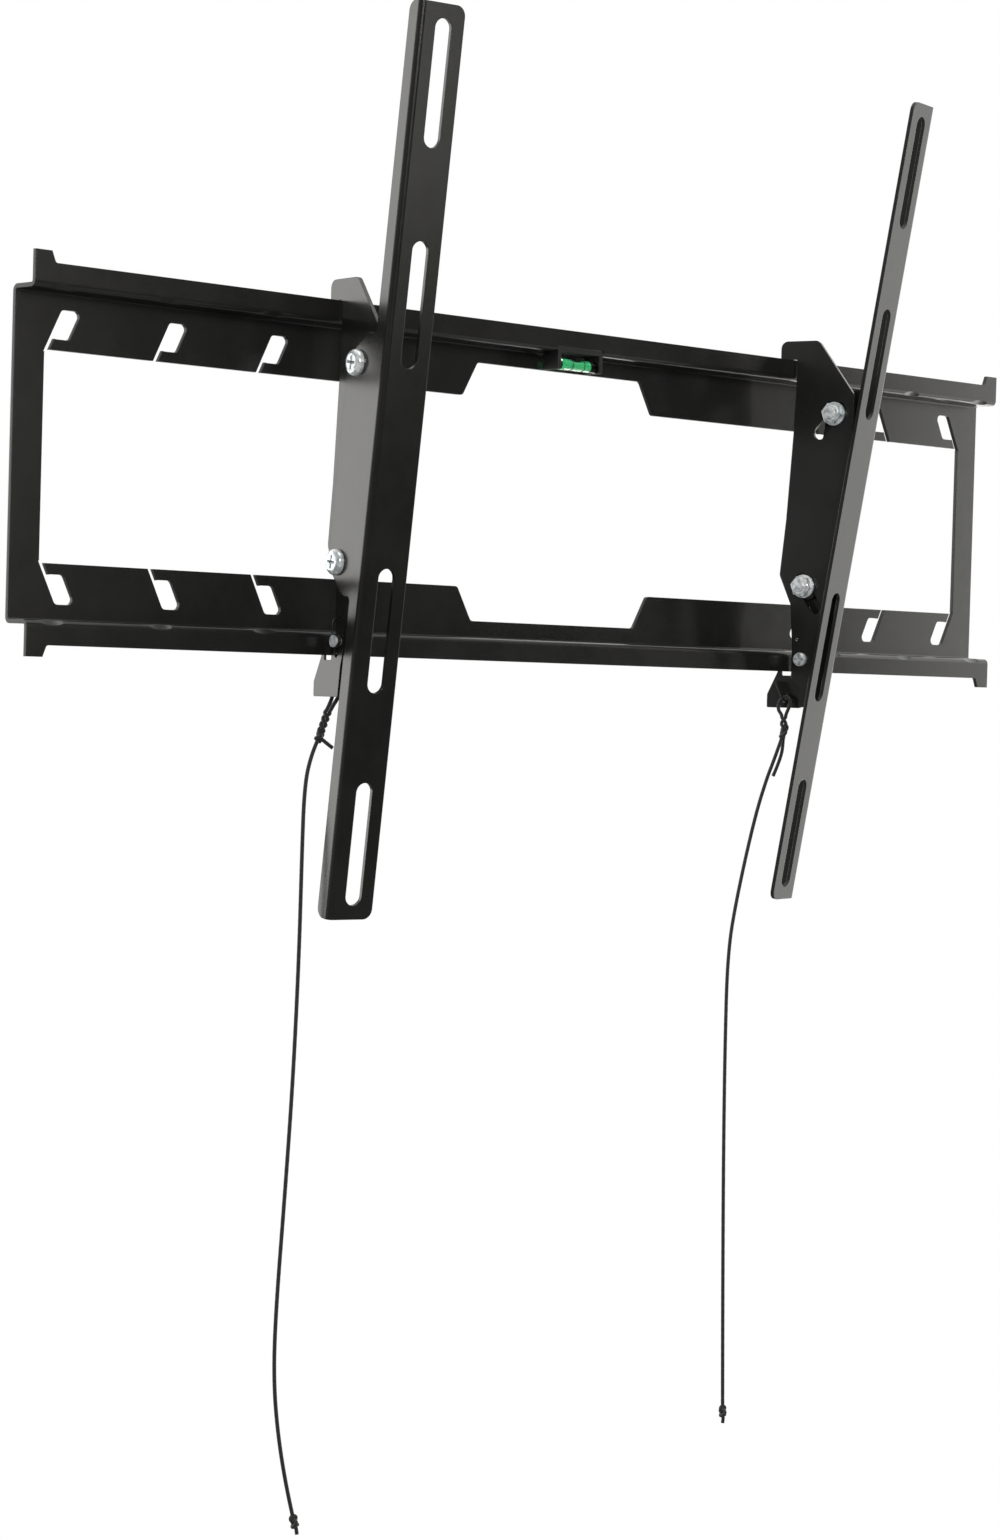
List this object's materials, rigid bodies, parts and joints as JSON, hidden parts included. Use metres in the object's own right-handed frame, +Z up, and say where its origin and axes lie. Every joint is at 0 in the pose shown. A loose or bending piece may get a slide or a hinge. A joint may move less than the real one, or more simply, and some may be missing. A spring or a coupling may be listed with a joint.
{
  "type": "tilting tv wall mount",
  "caption": "Folded steel wall plate with slotted tilting arms on hook plates, spring latches worked by pull cords and a small spirit level.",
  "frame": {"origin": "on the wall plane, at the middle of the wall plate", "axes": "+X right along the rail, +Y into the wall, +Z up"},
  "size_m": [0.69, 0.0925, 0.72],
  "materials": {
    "black_coat": "satin",
    "black_plastic": "matte",
    "clear_tube": "clear",
    "green_liquid": "gloss",
    "nylon": "matte",
    "zinc_steel": "zinc plated",
    "spring_steel": "dark",
    "cord": "braided"
  },
  "bodies": {
    "wall_rail": {"wall_plate": "black_coat", "level_holder": "black_plastic", "level_vial": "clear_tube", "level_liquid": "green_liquid"},
    "left_bracket": {"left_hook_plate": "black_coat", "left_latch_pivot": "zinc_steel", "left_latch_spring": "spring_steel"},
    "left_tilting_arm": {"left_arm": "black_coat", "left_tilt_bolts": "zinc_steel", "left_friction_washers": "nylon", "left_nut_washers": "zinc_steel", "left_tilt_nuts": "zinc_steel"},
    "left_catch": {"left_latch": "black_coat"},
    "left_cord": {"left_cord_loop": "cord", "left_pull_cord": "cord", "left_cord_end_knot": "cord"},
    "right_bracket": {"right_hook_plate": "black_coat", "right_latch_pivot": "zinc_steel", "right_latch_spring": "spring_steel"},
    "right_tilting_arm": {"right_arm": "black_coat", "right_tilt_bolts": "zinc_steel", "right_friction_washers": "nylon", "right_nut_washers": "zinc_steel", "right_tilt_nuts": "zinc_steel"},
    "right_catch": {"right_latch": "black_coat"},
    "right_cord": {"right_cord_loop": "cord", "right_pull_cord": "cord", "right_cord_end_knot": "cord"}
  },
  "joints": [
    {"name": "left_rail_slide", "type": "slide", "parent": "wall_rail", "child": "left_bracket", "axis": [1, 0, 0], "range_m": [-0.16, 0.12]},
    {"name": "left_arm_tilt", "type": "hinge", "parent": "left_bracket", "child": "left_tilting_arm", "pos_m": [-0.17446, -0.09473, -0.002], "axis": [0.9903, -0.1392, 0], "range_deg": [-7.6, 4.4]},
    {"name": "left_latch_turn", "type": "hinge", "parent": "left_bracket", "child": "left_catch", "pos_m": [-0.16456, -0.02422, -0.0776], "axis": [-0.9903, 0.1392, 0], "range_deg": [0, 14], "stiffness_Nm_per_rad": 0.06, "springref_deg": -28.65, "deforming": ["left_latch_spring"]},
    {"name": "left_cord_hang", "type": "hinge", "parent": "left_catch", "child": "left_cord", "pos_m": [-0.16079, -0.01609, -0.09828], "axis": [-0.9903, 0.1392, 0], "range_deg": [-14, 0]},
    {"name": "right_rail_slide", "type": "slide", "parent": "wall_rail", "child": "right_bracket", "axis": [1, 0, 0], "range_m": [-0.12, 0.155]},
    {"name": "right_arm_tilt", "type": "hinge", "parent": "right_bracket", "child": "right_tilting_arm", "pos_m": [0.18563, -0.09346, -0.002], "axis": [0.9744, 0.225, 0], "range_deg": [-9.4, 2.6]},
    {"name": "right_latch_turn", "type": "hinge", "parent": "right_bracket", "child": "right_catch", "pos_m": [0.16962, -0.02409, -0.0776], "axis": [-0.9744, -0.225, 0], "range_deg": [0, 14], "stiffness_Nm_per_rad": 0.06, "springref_deg": -28.65, "deforming": ["right_latch_spring"]},
    {"name": "right_cord_hang", "type": "hinge", "parent": "right_catch", "child": "right_cord", "pos_m": [0.16515, -0.01632, -0.09828], "axis": [-0.9744, -0.225, 0], "range_deg": [-14, 0]}
  ],
  "couplings": [
    {"joint": "left_cord_hang", "follows": "left_latch_turn", "ratio": -1},
    {"joint": "right_cord_hang", "follows": "right_latch_turn", "ratio": -1}
  ]
}
